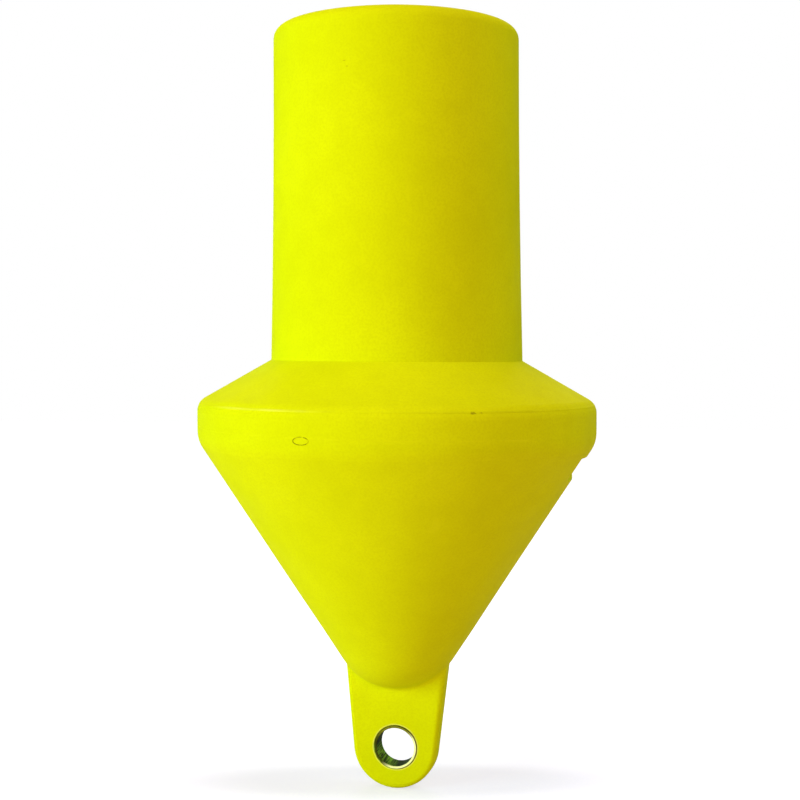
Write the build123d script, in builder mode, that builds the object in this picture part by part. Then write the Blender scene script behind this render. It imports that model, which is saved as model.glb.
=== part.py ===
"""Can-topped marker buoy: a rotomoulded hull with a moulded mooring lug, a metal eye bush and a fill plug.

Millimetres, +Z up. The origin is on the buoy's axis at the waterline, the lower corner of the float band.
The lug lies in the XZ plane, so the mooring eye's bore runs along Y.
"""

from build123d import *
import math
import os

# Float: the wide band with its shoulder above and its cone below
band_radius = 200.0
band_height = 37.7
shoulder_height = 42.2
cone_slope = 0.647
nose_radius = 67.4
shoulder_round = 15.0
bilge_round = 30.0

# Can: the tall daymark that stands on the shoulder
can_foot_radius = 126.3
can_top_radius = 122.3
can_height = 330.6
can_waist = 1.0
rim_round = 12.0

# Mooring lug, moulded out of the nose
lug_thickness = 22.0
lug_end_radius = 43.1
lug_side_slope = 0.107
lug_edge_round = 5.0
lug_root_round = 5.0
lug_root_depth = 50.0
eye_drop = 59.4

# Eye bush
bush_outer_radius = 22.2
bush_wall = 2.7
bush_proud = 1.0
bush_lip_bevel = 0.8
bush_clearance = 0.1

# Fill port, on the cone just under the band: a recess with a flat floor, cut straight across the cone so that
# it runs out at its sides, with sloping walls above and below. The plug sits flush in the floor.
port_azimuth = 3.3
port_drop = 25.7
port_recess_mouth = 28.5
port_recess_floor = 25.0
port_recess_depth = 3.1
port_recess_reach = 60.0
port_seat_radius = 8.5
port_seat_depth = 3.0
port_hole_radius = 5.5
port_hole_depth = 12.0
plug_edge_bevel = 0.6
plug_clearance = 0.15
plug_end_gap = 0.5

# Limits for picking the lug's edges: how near they lie to its faces or to the nose's sphere.
# The nose's own seam circle is longer than any edge of the lug's root.
face_tolerance = 0.01
sphere_tolerance = 1.0
root_edge_longest = 2.5 * nose_radius

# Heights and tangent points that follow from the sizes above
shoulder_z = band_height
neck_z = shoulder_z + shoulder_height
can_top_z = neck_z + can_height
half_angle = math.atan(cone_slope)
nose_centre_z = nose_radius / math.sin(half_angle) - band_radius / cone_slope
nose_bottom_z = nose_centre_z - nose_radius
nose_tangent = (nose_radius * math.cos(half_angle), nose_centre_z - nose_radius * math.sin(half_angle))
eye_z = nose_bottom_z - eye_drop


def draw_hull_section():
    """Half section of the hull, as lines and arcs from the flat top down to the nose."""
    can_side_middle = ((can_top_radius + can_foot_radius) / 2 - can_waist, (can_top_z + neck_z) / 2)
    with BuildSketch(Plane.XZ) as section:
        with BuildLine():
            Line((0, can_top_z), (can_top_radius, can_top_z))
            ThreePointArc((can_top_radius, can_top_z), can_side_middle, (can_foot_radius, neck_z))
            Polyline((can_foot_radius, neck_z), (band_radius, shoulder_z), (band_radius, 0), nose_tangent)
            RadiusArc(nose_tangent, (0, nose_bottom_z), nose_radius)
            Line((0, nose_bottom_z), (0, can_top_z))
        make_face()
        # Radius, height and rounding of each corner. The can meets its shoulder in a crisp one.
        for corner_radius, corner_z, rounding in (
            (can_top_radius, can_top_z, rim_round),
            (band_radius, shoulder_z, shoulder_round),
            (band_radius, 0, bilge_round),
        ):
            corner = section.vertices().sort_by_distance((corner_radius, corner_z))[0]
            fillet(corner, rounding)
    return section.sketch


def draw_lug_outline():
    """Outline of the mooring lug: a round end about the eye and sides that widen up into the nose."""
    side_angle = math.atan(lug_side_slope)
    end_x = lug_end_radius * math.cos(side_angle)
    end_z = eye_z - lug_end_radius * math.sin(side_angle)
    root_z = nose_bottom_z + lug_root_depth
    root_x = end_x + lug_side_slope * (root_z - end_z)
    with BuildSketch(Plane.XZ) as outline:
        with BuildLine():
            Polyline((-end_x, end_z), (-root_x, root_z), (root_x, root_z), (end_x, end_z))
            ThreePointArc((end_x, end_z), (0, eye_z - lug_end_radius), (-end_x, end_z))
        make_face()
    return outline.sketch


def port_plane():
    """Plane on the cone's surface at the middle of the fill port, facing straight out of the cone."""
    surface_radius = band_radius - cone_slope * port_drop
    azimuth = math.radians(port_azimuth)
    outward = Vector(math.cos(azimuth), math.sin(azimuth), 0)
    origin = outward * surface_radius + Vector(0, 0, -port_drop)
    across = Vector(-math.sin(azimuth), math.cos(azimuth), 0)
    return Plane(origin=origin, x_dir=across, z_dir=outward + Vector(0, 0, -cone_slope))


def draw_port_recess():
    """The recess in section up and down the cone, carried on outwards past the surface."""
    wall_spread = (port_recess_mouth - port_recess_floor) / (2 * port_recess_depth)
    mouth = port_recess_mouth / 2 + wall_spread * port_recess_depth
    floor = port_recess_floor / 2
    section = Plane(origin=port_plane().origin, x_dir=port_plane().y_dir, z_dir=port_plane().x_dir)
    with BuildSketch(section) as recess:
        Polygon(
            (-floor, -port_recess_depth),
            (floor, -port_recess_depth),
            (mouth, port_recess_depth),
            (-mouth, port_recess_depth),
            align=None,
        )
    return recess.sketch


def is_lug_rim(edge):
    """True for the edges round the lug's two flat faces, from the root down to the round end."""
    points = [edge @ 0, edge @ 0.5, edge @ 1]
    on_face = all(abs(abs(point.Y) - lug_thickness / 2) < face_tolerance for point in points)
    return on_face and not is_lug_root(edge)


def is_lug_root(edge):
    """True for the edges where the lug grows out of the nose."""
    middle = edge @ 0.5
    reach = (middle - Vector(0, 0, nose_centre_z)).length
    return abs(reach - nose_radius) < sphere_tolerance and edge.length < root_edge_longest


# Hull: the one-piece moulding, with its lug, the eye's seat and the fill port
with BuildPart() as hull:
    revolve(draw_hull_section(), axis=Axis.Z)
    extrude(draw_lug_outline(), amount=lug_thickness / 2, both=True)
    fillet(hull.edges().filter_by(is_lug_rim), lug_edge_round)
    fillet(hull.edges().filter_by(is_lug_root), lug_root_round)
    with BuildSketch(Plane.XZ):
        with Locations((0, eye_z)):
            Circle(bush_outer_radius + bush_clearance)
    extrude(amount=lug_thickness, both=True, mode=Mode.SUBTRACT)
    extrude(draw_port_recess(), amount=port_recess_reach, both=True, mode=Mode.SUBTRACT)
    with Locations(port_plane().offset(-port_recess_depth)):
        CounterBoreHole(port_hole_radius, port_seat_radius, port_seat_depth, port_hole_depth)
hull.part.label = "hull"

# Eye bush: a metal tube through the lug, standing a little proud with its outer edges bevelled
with BuildPart() as eye_bush:
    with BuildSketch(Plane.XZ):
        with Locations((0, eye_z)):
            Circle(bush_outer_radius)
            Circle(bush_outer_radius - bush_wall, mode=Mode.SUBTRACT)
    extrude(amount=lug_thickness / 2 + bush_proud, both=True)
    outer_rims = eye_bush.edges().filter_by(GeomType.CIRCLE).group_by(SortBy.RADIUS)[-1]
    chamfer(outer_rims, bush_lip_bevel)
eye_bush.part.label = "eye_bush"

# Fill plug: a round head flush in the recess's floor, on a shank that closes the fill hole
with BuildPart() as fill_plug:
    seat = port_plane().offset(-port_recess_depth - port_seat_depth)
    with BuildSketch(seat):
        Circle(port_seat_radius - plug_clearance)
    extrude(amount=port_seat_depth)
    chamfer(fill_plug.edges().sort_by(Axis(seat.origin, seat.z_dir))[-1], plug_edge_bevel)
    with BuildSketch(seat):
        Circle(port_hole_radius - plug_clearance)
    extrude(amount=-(port_hole_depth - port_seat_depth - plug_end_gap))
fill_plug.part.label = "fill_plug"

os.makedirs("parts", exist_ok=True)
for piece in (hull, eye_bush, fill_plug):
    export_step(piece.part, f"parts/{piece.part.label}.step")
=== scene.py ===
"""Looks of a can-topped marker buoy: moulded yellow polyethylene with a metal tube in its mooring eye.

Metres, +Z up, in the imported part's own frame. The mooring lug lies in the XZ plane, and its eye runs
along Y.
"""

from collections import namedtuple
import bmesh
import bpy
import math
from mathutils import Matrix, Vector
from mathutils.bvhtree import BVHTree


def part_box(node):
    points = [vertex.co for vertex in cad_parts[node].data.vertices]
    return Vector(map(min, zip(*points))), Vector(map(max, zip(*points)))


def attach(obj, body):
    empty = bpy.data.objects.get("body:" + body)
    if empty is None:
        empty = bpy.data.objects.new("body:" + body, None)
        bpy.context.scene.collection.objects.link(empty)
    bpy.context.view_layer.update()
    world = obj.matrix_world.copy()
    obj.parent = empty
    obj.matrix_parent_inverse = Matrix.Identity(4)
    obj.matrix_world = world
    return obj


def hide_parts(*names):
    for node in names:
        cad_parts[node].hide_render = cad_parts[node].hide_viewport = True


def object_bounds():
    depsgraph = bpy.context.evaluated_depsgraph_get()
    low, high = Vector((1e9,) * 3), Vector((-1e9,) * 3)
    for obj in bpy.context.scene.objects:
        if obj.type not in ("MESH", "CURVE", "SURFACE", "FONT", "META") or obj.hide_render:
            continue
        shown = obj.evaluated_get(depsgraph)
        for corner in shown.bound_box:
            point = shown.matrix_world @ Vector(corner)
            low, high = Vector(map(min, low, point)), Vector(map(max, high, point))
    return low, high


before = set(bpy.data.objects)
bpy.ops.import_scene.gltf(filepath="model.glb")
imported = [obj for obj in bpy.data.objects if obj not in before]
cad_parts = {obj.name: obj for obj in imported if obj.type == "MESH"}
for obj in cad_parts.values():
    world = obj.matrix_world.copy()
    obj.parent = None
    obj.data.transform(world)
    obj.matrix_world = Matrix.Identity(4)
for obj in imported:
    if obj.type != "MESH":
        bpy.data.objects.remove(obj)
cad_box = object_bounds()
MM = 0.001

# Camera: just above the float's height, a little to the right of square on to the lug, and tipped down
CAMERA_AZIMUTH = math.radians(13.5)
CAMERA_DISTANCE = 1.5
CAMERA_HEIGHT = 0.102
CAMERA_TIP = 0.0416
CAMERA_TURN = 0.002
CAMERA_ROLL = -0.0023
CAMERA_LENS = 66.88
SENSOR_WIDTH = 36.0

# Light: soft lamps all round the buoy and an even fill. A lamp's azimuth and elevation are in degrees, the
# azimuth counted from the line to the camera towards the camera's right. Its power is in watts.
COOL = (0.76, 1.0, 0.9)
WARM = (1.0, 0.66, 0.75)
FILL = (1.0, 0.8, 0.9)
LAMP_DISTANCE = 3.0
LAMPS = (
    # name, azimuth, elevation, size, power, colour
    ("key", -62, 7, 1.8, 69.0, COOL),
    ("front", 0, 15, 1.5, 24.0, WARM),
    ("side", 90, 42, 1.5, 17.9, COOL),
    ("top", 0, 80, 1.5, 32.0, WARM),
    ("back", 180, 35, 1.8, 26.0, FILL),
)
FILL_STRENGTH = 0.14

# Floor: it throws its bounce colour back on to the buoy. Where it is seen it shows white, from its own
# shade, which takes the buoy's cast shadow, and a glow. The glow is weaker in an oval that lies across
# the camera's line, a little behind the lug, which paints a faint shadow there. It is weakest up to the
# first reach, in oval radii, stronger at the second, and full at the third.
FLOOR_SIZE = 12.0
FLOOR_BOUNCE = (0.82, 0.67, 0.7)
FLOOR_SHADE = (0.36, 0.375, 0.468)
GLOW_UNDER = 0.673
GLOW_BESIDE = 0.802
SHADOW_HALF_WIDTH = 0.157
SHADOW_HALF_DEPTH = 0.041
SHADOW_BEHIND = 0.018
SHADOW_REACHES = (0.9, 1.77, 8.0)

# Colours, linear
YELLOW_PALE = (0.79, 0.885, 0.002)
YELLOW_DEEP = (0.737, 0.828, 0.001)
YELLOW_SHADE = (0.646, 0.715, 0.001)
# Dark stain of the scuffs, the plug's darker rim, and painted shade in the eye's seam and on the ridge
STAIN_AND_SHADE = (0.26, 0.24, 0.003)
# Pale worn colour of the scratches, and a painted highlight along the parting line
RUBBED_AND_HIGHLIGHT = (0.80, 0.87, 0.006)
# Painted highlight round the eye's tube and on one stretch of the ridge
HIGHLIGHT_PALE = (0.93, 0.97, 0.12)
# Painted shade on the mould mark's raised line
MARK_SHADE = (0.27, 0.28, 0.002)
# Painted reflections on the tube's wall, dark and green
TUBE_DARK_REFLECTION = (0.008, 0.02, 0.0)
TUBE_GREEN_REFLECTION = (0.34, 0.80, 0.06)
TUBE_FACE = (0.24, 0.25, 0.012)
# Painted shade on the tube's face
TUBE_FACE_SHADE = (0.06, 0.075, 0.004)
# Painted highlight on the tube's lip
TUBE_HIGHLIGHT = (0.92, 0.95, 0.45)

# Patterns of noise: cells per metre, detail, the two noise levels that it is eased between, and its value
# at each of them
Pattern = namedtuple("Pattern", "scale detail start end low high")
CLOUDS = Pattern(7.0, 3.0, 0.3, 0.7, 0.0, 1.0)
MOTTLE = Pattern(45.0, 3.0, 0.35, 0.75, 0.0, 0.22)
SPECKS = Pattern(520.0, 3.0, 0.35, 0.7, 0.0, 0.38)
SCRATCHES = Pattern(60.0, 4.0, 0.66, 0.74, 0.0, 0.3)
ROUGHNESS = Pattern(30.0, 3.0, 0.3, 0.7, 0.74, 0.86)
PARTING_PATCHES = Pattern(25.0, 2.0, 0.35, 0.6, 0.0, 0.45)
SEAM_PATCHES = Pattern(220.0, 2.0, 0.3, 0.6, 0.6, 1.0)
# Patches of painted shade on the mould mark
MARK_SHADE_PATCHES = Pattern(260.0, 3.0, 0.35, 0.6, 0.1, 1.0)
EDGE_PATCHES = Pattern(30.0, 2.0, 0.35, 0.65, 0.3, 1.0)
TUBE_BLOTCHES = Pattern(120.0, 3.0, 0.5, 0.75, 0.0, 0.6)

# Plastic: how its scratches are stretched, the relief of its slow waves and fine grain, and its gloss
SCRATCH_STRETCH = (1.0, 1.0, 0.08)
WAVE_SCALE = 11.0
WAVE_DETAIL = 1.0
WAVE_DEPTH = 0.8 * MM
GRAIN_SCALE = 900.0
GRAIN_DETAIL = 2.0
GRAIN_DEPTH = 0.04 * MM
PLASTIC_SPECULAR = 0.06
PLASTIC_TINT = (1.0, 0.95, 0.1)

# Parting line: a slightly tilted level plane cuts the band. The ramp is by the distance from that plane.
# Along it the colour is painted pale in patches, a painted highlight, over a real low bump
PARTING_NORMAL = (0.0177, 0.0, 1.0)
PARTING_HEIGHT = 12.4 * MM
PARTING_RAMP = (0.2 * MM, 0.9 * MM, 1.0, 0.0)
PARTING_DEPTH = 0.06 * MM

# The moulding isn't quite true: its level lines slope down to the camera's right, by this much per metre,
# the cone's foot sways to the camera's right, and the lug's outline leans to the left about its eye.
# The slope ends below the nose. Near the top edge nothing rises, so the top stays at the buoy's height.
MOULD_SLOPE = 0.008
SLOPE_FULL_LOW = -0.20
SLOPE_GONE_LOW = -0.26
RISE_FULL = 0.28
RISE_GONE = 0.38
CONE_SWAY = 0.8 * MM
SWAY_START = -0.13
SWAY_FULL = -0.228
SWAY_GONE = -0.247
LUG_LEAN = 1.2 * MM
LEAN_START = 2 * MM
LEAN_FULL = 16 * MM

# Eye tube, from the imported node: its axis runs along Y
bush_low, bush_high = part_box("eye_bush")
EYE = (bush_low + bush_high) / 2
BUSH_RADIUS = (bush_high.x - bush_low.x) / 2
BUSH_HALF = (bush_high.y - bush_low.y) / 2
BUSH_BORE = 19.5 * MM
BUSH_LIP_INNER = 1.0 * MM
BUSH_LIP_OUTER = 0.8 * MM
BUSH_STEPS = 192
LIP_STEPS = 6

# Round the tube on the hull: a pale ring of painted highlight, with painted shade in the seam inside
# it. Both ramps are by the distance from the eye's axis.
HIGHLIGHT_RING = (BUSH_RADIUS + 1.2 * MM, BUSH_RADIUS + 2.0 * MM, 0.8, 0.0)
SEAM_SHADE_RING = (BUSH_RADIUS + 0.3 * MM, BUSH_RADIUS + 0.9 * MM, 0.85, 0.0)

# On the tube: a side with a painted highlight on the lip, and a side with a painted green reflection on
# the wall and painted shade on the face. The first three ramps are by how far a point lies to such a side,
# the lip's by its depth along the eye, and the face's by its distance from the eye's axis. The streaks run
# along the eye. Their stretch is in cells per metre, and their ramps are by level.
LIT_SIDE = (0.77, 0.0, -0.64)
LIT_RAMP = (-2.0 * MM, 10.0 * MM)
REFLECTION_AND_SHADE_SIDE = (-0.72, 0.0, -0.69)
REFLECTION_RAMP = (12.0 * MM, 18.5 * MM, 0.06, 1.0)
FACE_SHADE_RAMP = (-6.0 * MM, 12.0 * MM)
LIP_RAMP = (BUSH_HALF - 0.9 * MM, BUSH_HALF - 0.45 * MM)
FACE_RAMP = (BUSH_RADIUS - 0.7 * MM, BUSH_RADIUS - 0.3 * MM, 1.0, 0.0)
STREAK_STRETCH = (900.0, 45.0, 900.0)
STREAK_DETAIL = 3.0
STREAK_REFLECTION = (0.4, 0.62, 0.1, 1.0)
STREAK_ROUGHNESS = (0.3, 0.7, 0.7, 0.9)
STREAK_DEPTH = 0.05 * MM
HIGHLIGHT_METALLIC = (0.0, 1.0, 0.0, 0.5)
TUBE_SPECULAR = 0.05

# Fill plug: ripples round its middle, in radians per metre, and a darker ring at its rim
PLUG_RIPPLES = 9000.0
RIPPLE_SHADE = (0.0, 1.0, 0.0, 0.12)
RIPPLE_DEPTH = 0.02 * MM
PLUG_RIM = (7.6 * MM, 8.6 * MM, 0.0, 0.6)

# Beads, the low raised lines: how deep their feet are sunk, and where their shoulders lie, as shares of
# their width and height
BEAD_FOOT = 0.3 * MM
BEAD_SHOULDER = 0.12
BEAD_SHOULDER_HEIGHT = 0.7

# Blank oval mould mark on the float band, pressed on to it from outside the hull
MARK_AZIMUTH = 258.0
MARK_HEIGHT = 10.6 * MM
MARK_HALF_WIDTH = 8.4 * MM
MARK_HALF_HEIGHT = 4.0 * MM
MARK_LINE = 1.0 * MM
MARK_PROUD = 0.4 * MM
MARK_STEPS = 96
OUTSIDE_HULL = 0.4

# Ridge along the band's upper rounded edge: that edge's centre, as distance from the axis and height, and
# its radius, then where on the edge the ridge starts and how large it is
EDGE_CENTRE = (0.185, 0.029)
EDGE_ROUND = 15.0 * MM
EDGE_ANGLE = math.radians(36)
EDGE_LINE = 3.0 * MM
EDGE_PROUD = 0.12 * MM
EDGE_STEPS = 360

# Where the ridge has a painted highlight and painted shade, with ramps by the distance from those places
HIGHLIGHT_EDGE = (-0.083, -0.1785, 0.037)
HIGHLIGHT_EDGE_RAMP = (0.02, 0.085, 0.38, 0.0)
SHADE_EDGE = (0.12, -0.155, 0.037)
SHADE_EDGE_RAMP = (0.04, 0.12, 0.12, 0.0)

# Small marks of use on the hull, wider than high by their flatness. They have a ragged outline, and fade
# between two shares of their radius.
SCUFFS = (
    # azimuth in degrees, height, distance from the axis, radius, strength
    (303.2, 0.0352, 0.1970, 0.0052, 0.85),
    (305.6, 0.0356, 0.1968, 0.0034, 0.5),
    (260.4, 0.3590, 0.1225, 0.0026, 0.45),
    (261.6, 0.3535, 0.1225, 0.0022, 0.4),
    (78.0, 0.0310, 0.2000, 0.0050, 0.5),
    (131.0, 0.2400, 0.1240, 0.0036, 0.4),
)
SCUFF_FLATNESS = 2.6
SCUFF_RAGGED_SCALE = 500.0
SCUFF_RAGGED_DETAIL = 3.0
SCUFF_FULL = 0.7
SCUFF_GONE = 1.3


def camera_axes():
    """Unit vectors level with the ground: from the buoy towards the camera, and to the camera's right."""
    towards = Vector((math.sin(CAMERA_AZIMUTH), -math.cos(CAMERA_AZIMUTH), 0))
    right = Vector((math.cos(CAMERA_AZIMUTH), math.sin(CAMERA_AZIMUTH), 0))
    return towards, right


def ease(value, start, end):
    """0 at start and 1 at end, with a smooth step between them."""
    share = min(max((value - start) / (end - start), 0), 1)
    return share * share * (3 - 2 * share)


def on_hull(azimuth, height, radius):
    """Point at an azimuth in degrees, a height and a distance from the axis."""
    angle = math.radians(azimuth)
    return Vector((radius * math.cos(angle), radius * math.sin(angle), height))


def add_camera():
    """The camera, aimed at the buoy and turned, tipped and rolled by small angles."""
    data = bpy.data.cameras.new("camera")
    data.lens = CAMERA_LENS
    data.sensor_width = SENSOR_WIDTH
    camera = bpy.data.objects.new("camera", data)
    bpy.context.scene.collection.objects.link(camera)
    towards, _ = camera_axes()
    place = Matrix.Translation(towards * CAMERA_DISTANCE + Vector((0, 0, CAMERA_HEIGHT)))
    heading = Matrix.Rotation(CAMERA_AZIMUTH - CAMERA_TURN, 4, "Z")
    tip = Matrix.Rotation(math.pi / 2 - CAMERA_TIP, 4, "X")
    camera.matrix_world = place @ heading @ tip @ Matrix.Rotation(CAMERA_ROLL, 4, "Z")
    bpy.context.scene.camera = camera


def add_lamp(name, azimuth, elevation, size, power, colour):
    """A soft round lamp that faces the origin."""
    towards, right = camera_axes()
    turn = math.radians(azimuth)
    rise = math.radians(elevation)
    level = towards * math.cos(turn) + right * math.sin(turn)
    direction = level * math.cos(rise) + Vector((0, 0, math.sin(rise)))
    data = bpy.data.lights.new(name, "AREA")
    data.shape = "DISK"
    data.size = size
    data.energy = power
    data.color = colour
    lamp = bpy.data.objects.new(name, data)
    bpy.context.scene.collection.objects.link(lamp)
    lamp.location = direction * LAMP_DISTANCE
    lamp.rotation_mode = "QUATERNION"
    lamp.rotation_quaternion = direction.to_track_quat("Z", "Y")


class Shading:
    """One material's or the world's node tree, with short calls for its nodes."""

    def __init__(self, owner):
        owner.use_nodes = True
        self.tree = owner.node_tree
        self.tree.nodes.clear()

    def node(self, kind, inputs=(), **settings):
        """A node with its settings. Each input is a value, a socket to link, or None to leave as it is."""
        node = self.tree.nodes.new("ShaderNode" + kind)
        for name, value in settings.items():
            setattr(node, name, value)
        pairs = inputs.items() if isinstance(inputs, dict) else enumerate(inputs)
        for socket, value in pairs:
            if isinstance(value, bpy.types.NodeSocket):
                self.tree.links.new(value, node.inputs[socket])
            elif value is not None:
                node.inputs[socket].default_value = value
        return node

    def maths(self, operation, *values):
        """The result of a Math node."""
        return self.node("Math", values, operation=operation).outputs[0]

    def vector(self, operation, *values, output="Vector"):
        """The result of a Vector Math node."""
        return self.node("VectorMath", values, operation=operation).outputs[output]

    def ramp(self, value, start, end, low=0.0, high=1.0):
        """Smooth step from low at start to high at end."""
        inputs = {"Value": value, "From Min": start, "From Max": end, "To Min": low, "To Max": high}
        return self.node("MapRange", inputs, interpolation_type="SMOOTHSTEP").outputs[0]

    def noise(self, place, scale, detail, stretch=None):
        """Noise from 0 to 1, the place stretched by three factors where they are given."""
        if stretch:
            place = self.vector("MULTIPLY", place, stretch)
        inputs = {"Vector": place, "Scale": scale, "Detail": detail}
        return self.node("TexNoise", inputs).outputs[0]

    def pattern(self, place, pattern, stretch=None):
        """Noise eased between two of its levels."""
        noise = self.noise(place, pattern.scale, pattern.detail, stretch)
        return self.ramp(noise, pattern.start, pattern.end, pattern.low, pattern.high)

    def blend(self, share, first, second):
        """Mix of two colours."""
        colours = [(*colour, 1) if isinstance(colour, tuple) else colour for colour in (first, second)]
        return self.node("MixRGB", (share, *colours)).outputs[0]

    def distance(self, place, point, weights=(1, 1, 1)):
        """Distance to a point, each axis weighed by a factor."""
        gap = self.vector("SUBTRACT", place, tuple(point))
        return self.vector("LENGTH", self.vector("MULTIPLY", gap, weights), output="Value")

    def bump(self, height, depth, before=None):
        """A Bump node of a depth in metres, on top of an earlier one."""
        inputs = {"Height": height, "Distance": depth, "Strength": 1.0, "Normal": before}
        return self.node("Bump", inputs).outputs[0]

    def output(self, shader, kind="OutputMaterial"):
        """Links the finished shader."""
        self.node(kind, {"Surface": shader})


def new_material(name):
    """A material, its node tree, and the place on the object for its patterns."""
    material = bpy.data.materials.new(name)
    shading = Shading(material)
    place = shading.node("TexCoord").outputs["Object"]
    return material, shading, place


def seen_directly(shading):
    """A value of 1 for camera, glossy and transmission rays, and 0 for the rays that light the object."""
    path = shading.node("LightPath")
    rays = [path.outputs[name] for name in ("Is Camera Ray", "Is Glossy Ray", "Is Transmission Ray")]
    return shading.maths("MAXIMUM", shading.maths("MAXIMUM", rays[0], rays[1]), rays[2])


def light_world():
    """White where it is seen, and an even soft fill where it lights."""
    world = bpy.data.worlds.new("studio")
    bpy.context.scene.world = world
    shading = Shading(world)
    fill = shading.node("Background", ((*FILL, 1), FILL_STRENGTH)).outputs[0]
    white = shading.node("Background", ((1, 1, 1, 1), 1.0)).outputs[0]
    mix = shading.node("MixShader", (seen_directly(shading), fill, white)).outputs[0]
    shading.output(mix, "OutputWorld")


def floor_material():
    """Lights the object as a pale floor does; to the camera, white with a partly painted faint shadow."""
    material, shading, place = new_material("floor")
    bounce = shading.node("BsdfDiffuse", ((*FLOOR_BOUNCE, 1),)).outputs[0]
    shade = shading.node("BsdfDiffuse", ((*FLOOR_SHADE, 1),)).outputs[0]
    inputs = {"Vector": place, "Location": (0, -SHADOW_BEHIND, 0), "Rotation": (0, 0, -CAMERA_AZIMUTH)}
    turned = shading.node("Mapping", inputs, vector_type="POINT").outputs[0]
    oval = shading.vector("MULTIPLY", turned, (1 / SHADOW_HALF_WIDTH, 1 / SHADOW_HALF_DEPTH, 0))
    reach = shading.vector("LENGTH", oval, output="Value")
    inner, outer, last = SHADOW_REACHES
    near = shading.ramp(reach, inner, outer, GLOW_UNDER, GLOW_BESIDE)
    far = shading.ramp(reach, outer, last, 0.0, 1.0 - GLOW_BESIDE)
    glow = shading.node("Emission", {"Strength": shading.maths("ADD", near, far)}).outputs[0]
    shown = shading.node("AddShader", (shade, glow)).outputs[0]
    shading.output(shading.node("MixShader", (seen_directly(shading), bounce, shown)).outputs[0])
    return material


def add_floor():
    """A pale floor under the lowest point of the lug."""
    half = FLOOR_SIZE / 2
    level = cad_box[0].z
    corners = [(-half, -half, level), (half, -half, level), (half, half, level), (-half, half, level)]
    mesh = bpy.data.meshes.new("floor")
    mesh.from_pydata(corners, [], [(0, 1, 2, 3)])
    floor = bpy.data.objects.new("floor", mesh)
    bpy.context.scene.collection.objects.link(floor)
    mesh.materials.append(floor_material())


def moulded_plastic(shading, place):
    """Base colour, roughness and bump of matt rotomoulded polyethylene."""
    colour = shading.blend(shading.pattern(place, CLOUDS), YELLOW_DEEP, YELLOW_PALE)
    colour = shading.blend(shading.pattern(place, MOTTLE), colour, YELLOW_SHADE)
    colour = shading.blend(shading.pattern(place, SPECKS), colour, YELLOW_SHADE)
    colour = shading.blend(shading.pattern(place, SCRATCHES, SCRATCH_STRETCH), colour, RUBBED_AND_HIGHLIGHT)
    roughness = shading.pattern(place, ROUGHNESS)
    waves = shading.bump(shading.noise(place, WAVE_SCALE, WAVE_DETAIL), WAVE_DEPTH)
    grain = shading.bump(shading.noise(place, GRAIN_SCALE, GRAIN_DETAIL), GRAIN_DEPTH, waves)
    return colour, roughness, grain


def scuffed(shading, place, colour):
    """The colour with the hull's small marks of use laid over it."""
    ragged = shading.noise(place, SCUFF_RAGGED_SCALE, SCUFF_RAGGED_DETAIL)
    for azimuth, height, radius, size, strength in SCUFFS:
        gap = shading.distance(place, on_hull(azimuth, height, radius), (1, 1, SCUFF_FLATNESS))
        edge = shading.maths("ADD", gap, shading.maths("MULTIPLY", ragged, size))
        scuff = shading.ramp(edge, size * SCUFF_FULL, size * SCUFF_GONE, strength, 0.0)
        colour = shading.blend(scuff, colour, STAIN_AND_SHADE)
    return colour


def finish_plastic(shading, colour, roughness, bump):
    """The Principled shader that the plastics share."""
    inputs = {"Base Color": colour, "Roughness": roughness, "Normal": bump}
    inputs["Specular IOR Level"] = PLASTIC_SPECULAR
    inputs["Specular Tint"] = (*PLASTIC_TINT, 1)
    shading.output(shading.node("BsdfPrincipled", inputs).outputs[0])


def hull_material():
    """Yellow hull: band's parting line, painted highlight and shade at the eye's tube, and small scuffs."""
    material, shading, place = new_material("hull_polyethylene")
    colour, roughness, bump = moulded_plastic(shading, place)

    # Parting line: a real low bump, with a painted highlight in patches along it
    along = shading.vector("DOT_PRODUCT", place, PARTING_NORMAL, output="Value")
    off_line = shading.maths("ABSOLUTE", shading.maths("SUBTRACT", along, PARTING_HEIGHT))
    line = shading.ramp(off_line, *PARTING_RAMP)
    faint = shading.maths("MULTIPLY", line, shading.pattern(place, PARTING_PATCHES))
    colour = shading.blend(faint, colour, RUBBED_AND_HIGHLIGHT)
    bump = shading.bump(line, PARTING_DEPTH, bump)

    # Round the eye's tube: a pale ring of painted highlight, and painted shade in the seam
    reach = shading.distance(place, EYE, (1, 0, 1))
    patchy = shading.pattern(place, SEAM_PATCHES)
    painted_highlight = shading.maths("MULTIPLY", shading.ramp(reach, *HIGHLIGHT_RING), patchy)
    colour = shading.blend(painted_highlight, colour, HIGHLIGHT_PALE)
    seam = shading.maths("MULTIPLY", shading.ramp(reach, *SEAM_SHADE_RING), patchy)
    colour = shading.blend(seam, colour, STAIN_AND_SHADE)

    colour = scuffed(shading, place, colour)
    finish_plastic(shading, colour, roughness, bump)
    return material


def plug_material():
    """Yellow plug: faint ripples round its middle and a darker ring at its rim."""
    material, shading, place = new_material("plug_polyethylene")
    colour, roughness, bump = moulded_plastic(shading, place)
    low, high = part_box("fill_plug")
    middle = (low + high) / 2
    reach = shading.distance(place, middle)
    ripples = shading.maths("SINE", shading.maths("MULTIPLY", reach, PLUG_RIPPLES))
    colour = shading.blend(shading.ramp(ripples, *RIPPLE_SHADE), colour, YELLOW_DEEP)
    bump = shading.bump(ripples, RIPPLE_DEPTH, bump)
    colour = shading.blend(shading.ramp(reach, *PLUG_RIM), colour, STAIN_AND_SHADE)
    finish_plastic(shading, colour, roughness, bump)
    return material


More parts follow.
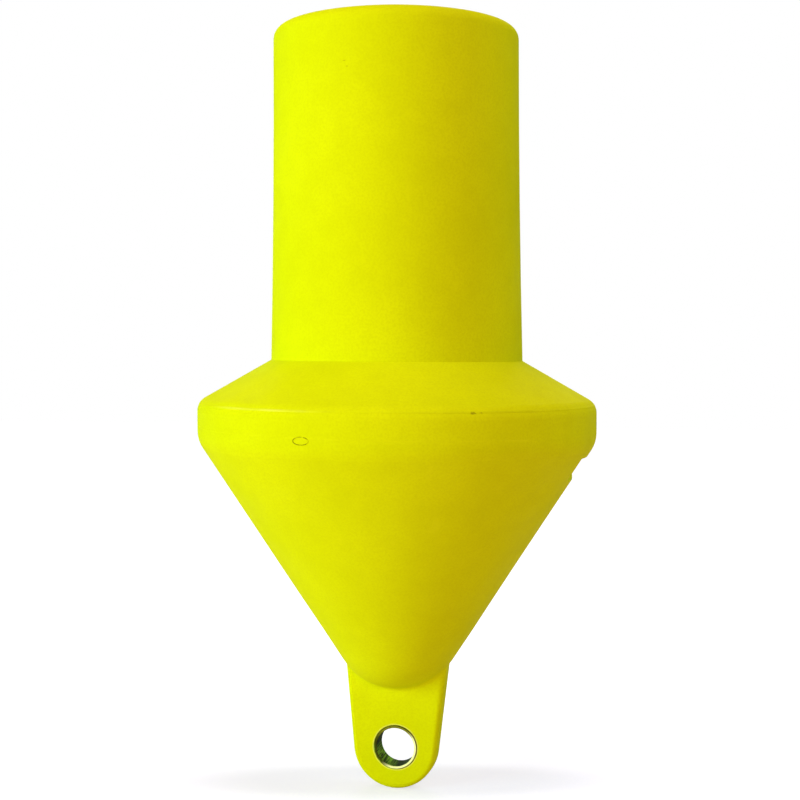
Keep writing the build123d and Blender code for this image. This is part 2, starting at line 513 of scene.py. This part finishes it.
def mark_material():
    """The mark's raised line: the hull's yellow, darkened in patches by painted shade."""
    material, shading, place = new_material("mark_polyethylene")
    colour, roughness, bump = moulded_plastic(shading, place)
    colour = shading.blend(shading.pattern(place, MARK_SHADE_PATCHES), colour, MARK_SHADE)
    finish_plastic(shading, colour, roughness, bump)
    return material


def edge_line_material():
    """The ridge's yellow: painted highlight in one stretch, faint painted shade in another, and scuffed."""
    material, shading, place = new_material("edge_polyethylene")
    colour, roughness, bump = moulded_plastic(shading, place)
    # A painted highlight on one stretch of the ridge and faint painted shade on another
    patchy = shading.pattern(place, EDGE_PATCHES)
    painted_highlight = shading.ramp(shading.distance(place, HIGHLIGHT_EDGE), *HIGHLIGHT_EDGE_RAMP)
    colour = shading.blend(shading.maths("MULTIPLY", painted_highlight, patchy), colour, HIGHLIGHT_PALE)
    ridge_shade = shading.ramp(shading.distance(place, SHADE_EDGE), *SHADE_EDGE_RAMP)
    colour = shading.blend(shading.maths("MULTIPLY", ridge_shade, patchy), colour, STAIN_AND_SHADE)
    colour = scuffed(shading, place, colour)
    finish_plastic(shading, colour, roughness, bump)
    return material


def tube_material():
    """Eye tube: painted reflections in streaks on its wall, and painted shade and highlight on its lip."""
    material, shading, place = new_material("tube_metal")
    streaks = shading.noise(place, 1.0, STREAK_DETAIL, STREAK_STRETCH)
    from_eye = shading.vector("SUBTRACT", place, tuple(EYE))
    low_side = shading.vector("DOT_PRODUCT", from_eye, REFLECTION_AND_SHADE_SIDE, output="Value")
    lit_side = shading.vector("DOT_PRODUCT", from_eye, LIT_SIDE, output="Value")

    # The wall: painted dark and green reflections, greener along the streaks on the low side
    reflection_share = shading.ramp(low_side, *REFLECTION_RAMP)
    reflection_share = shading.maths("MULTIPLY", reflection_share, shading.ramp(streaks, *STREAK_REFLECTION))
    wall_reflection = shading.blend(reflection_share, TUBE_DARK_REFLECTION, TUBE_GREEN_REFLECTION)
    wall_reflection = shading.blend(shading.pattern(place, TUBE_BLOTCHES), wall_reflection, TUBE_DARK_REFLECTION)

    # The lip's face, with painted shade towards the low side and a painted highlight on the lit side
    lip = shading.ramp(shading.distance(place, EYE, (0, 1, 0)), *LIP_RAMP)
    face = shading.maths("MULTIPLY", lip, shading.ramp(shading.distance(place, EYE, (1, 0, 1)), *FACE_RAMP))
    lip_highlight = shading.maths("MULTIPLY", shading.ramp(lit_side, *LIT_RAMP), face)
    face_shade = shading.blend(shading.ramp(low_side, *FACE_SHADE_RAMP), TUBE_FACE, TUBE_FACE_SHADE)
    colour = shading.blend(face, wall_reflection, face_shade)
    colour = shading.blend(lip_highlight, colour, TUBE_HIGHLIGHT)

    metallic = shading.ramp(lip_highlight, *HIGHLIGHT_METALLIC)
    roughness = shading.ramp(streaks, *STREAK_ROUGHNESS)
    bump = shading.bump(streaks, STREAK_DEPTH)
    inputs = {"Base Color": colour, "Metallic": metallic, "Roughness": roughness, "Normal": bump}
    inputs["Specular IOR Level"] = TUBE_SPECULAR
    shading.output(shading.node("BsdfPrincipled", inputs).outputs[0])
    return material


def place_piece(name, mesh, material, slot, *nodes):
    """A new piece that rides with the buoy, hiding the CAD nodes it replaces, if any. Its slot is unused.
    """
    piece = bpy.data.objects.new(name, mesh)
    bpy.context.scene.collection.objects.link(piece)
    mesh.materials.clear()
    mesh.materials.append(material)
    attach(piece, "root")
    if nodes:
        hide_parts(*nodes)
    return piece


def settled(point):
    """Where a point of the true moulding lies on this one, which isn't quite even."""
    _, right = camera_axes()
    across = point.dot(right)
    rise = -MOULD_SLOPE * ease(point.z, SLOPE_GONE_LOW, SLOPE_FULL_LOW) * across
    if rise > 0:
        rise *= 1 - ease(point.z, RISE_FULL, RISE_GONE)
    below_nose = ease(point.z, SLOPE_FULL_LOW, SLOPE_GONE_LOW)
    from_eye = math.hypot(point.x - EYE.x, point.z - EYE.z)
    lean = LUG_LEAN * below_nose * ease(from_eye, BUSH_RADIUS + LEAN_START, BUSH_RADIUS + LEAN_FULL)
    sway = CONE_SWAY * ease(point.z, SWAY_START, SWAY_FULL) * ease(point.z, SWAY_GONE, SWAY_FULL)
    return point + right * sway + Vector((-lean, 0, rise))


def settled_piece(name, node, material, slot):
    """A moulded piece with the shape of its CAD node, settled as this moulding has."""
    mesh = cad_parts[node].data.copy()
    mesh.name = name
    for vertex in mesh.vertices:
        vertex.co = settled(vertex.co)
    return place_piece(name, mesh, material, slot, node)


def ring_mesh(name, rings):
    """A smooth mesh through closed rings of points, its last ring joined to its first."""
    shape = bmesh.new()
    rows = [[shape.verts.new(point) for point in ring] for ring in rings]
    count = len(rows[0])
    for step, row in enumerate(rows):
        following = rows[(step + 1) % len(rows)]
        for index in range(count):
            after = (index + 1) % count
            shape.faces.new((row[index], row[after], following[after], following[index]))
    bmesh.ops.recalc_face_normals(shape, faces=shape.faces)
    mesh = bpy.data.meshes.new(name)
    shape.to_mesh(mesh)
    shape.free()
    mesh.shade_smooth()
    return mesh


def lip_arc(centre, lip, start, end):
    """Points of a lip's rounding, as radius and depth, between two angles in degrees."""
    points = []
    for step in range(LIP_STEPS + 1):
        angle = math.radians(start + (end - start) * step / LIP_STEPS)
        points.append((centre[0] + lip * math.cos(angle), centre[1] + lip * math.sin(angle)))
    return points


def tube_mesh():
    """The eye's tube turned about Y, with rounded lips at both ends."""
    outer = (BUSH_RADIUS - BUSH_LIP_OUTER, BUSH_HALF - BUSH_LIP_OUTER)
    inner = (BUSH_BORE + BUSH_LIP_INNER, BUSH_HALF - BUSH_LIP_INNER)
    one_end = lip_arc(outer, BUSH_LIP_OUTER, 0, 90) + lip_arc(inner, BUSH_LIP_INNER, 90, 180)
    section = one_end + [(radius, -depth) for radius, depth in reversed(one_end)]
    rings = []
    for step in range(BUSH_STEPS):
        angle = 2 * math.pi * step / BUSH_STEPS
        across = math.cos(angle)
        up = math.sin(angle)
        rings.append([EYE + Vector((radius * across, depth, radius * up)) for radius, depth in section])
    return ring_mesh("eye_tube", rings)


def bead_mesh(name, laid, width, proud, steps):
    """A closed bead of a width, with a rounded top that stands proud and a foot sunk in the surface."""
    section = (
        (0.0, -BEAD_FOOT),
        (BEAD_SHOULDER * width, BEAD_SHOULDER_HEIGHT * proud),
        (0.5 * width, proud),
        ((1 - BEAD_SHOULDER) * width, BEAD_SHOULDER_HEIGHT * proud),
        (width, -BEAD_FOOT),
    )
    rings = []
    for step in range(steps):
        turn = 2 * math.pi * step / steps
        rings.append([laid(turn, inset, height) for inset, height in section])
    return ring_mesh(name, rings)


def mark_mesh(surface):
    """A low raised line in a blank oval, laid on the band."""
    tree = BVHTree.FromObject(surface, bpy.context.evaluated_depsgraph_get())
    middle = on_hull(MARK_AZIMUTH, 0, 1)
    along = Vector((-middle.y, middle.x, 0))

    def laid(turn, inset, proud):
        """A point of the mark, pressed on to the hull straight in from outside it."""
        start = middle * OUTSIDE_HULL + along * (MARK_HALF_WIDTH - inset) * math.cos(turn)
        start.z = MARK_HEIGHT + (MARK_HALF_HEIGHT - inset) * math.sin(turn)
        hit, normal, _, _ = tree.ray_cast(start, -middle)
        return hit + normal * proud

    return bead_mesh("mould_mark", laid, MARK_LINE, MARK_PROUD, MARK_STEPS)


def edge_line_mesh(surface):
    """The low ridge that the mould leaves along the band's upper edge."""
    tree = BVHTree.FromObject(surface, bpy.context.evaluated_depsgraph_get())

    def laid(turn, inset, proud):
        """A point of the ridge, pressed on to the rounded edge along the line to its centre."""
        outward = Vector((math.cos(turn), math.sin(turn), 0))
        centre = settled(outward * EDGE_CENTRE[0] + Vector((0, 0, EDGE_CENTRE[1])))
        rise = EDGE_ANGLE - inset / EDGE_ROUND
        direction = outward * math.cos(rise) + Vector((0, 0, math.sin(rise)))
        hit, normal, _, _ = tree.ray_cast(centre + direction * 2 * EDGE_ROUND, -direction)
        return hit + normal * proud

    return bead_mesh("edge_line", laid, EDGE_LINE, EDGE_PROUD, EDGE_STEPS)


bpy.context.scene.view_settings.view_transform = "Standard"
add_camera()
for lamp_row in LAMPS:
    add_lamp(*lamp_row)
light_world()
add_floor()

hull = settled_piece("buoy_hull", "hull", hull_material(), "hull_plastic")
settled_piece("port_plug", "fill_plug", plug_material(), "plug_plastic")
place_piece("eye_tube", tube_mesh(), tube_material(), "bush_metal", "eye_bush")
place_piece("mould_mark", mark_mesh(hull), mark_material(), "hull_plastic")
place_piece("edge_line", edge_line_mesh(hull), edge_line_material(), "hull_plastic")
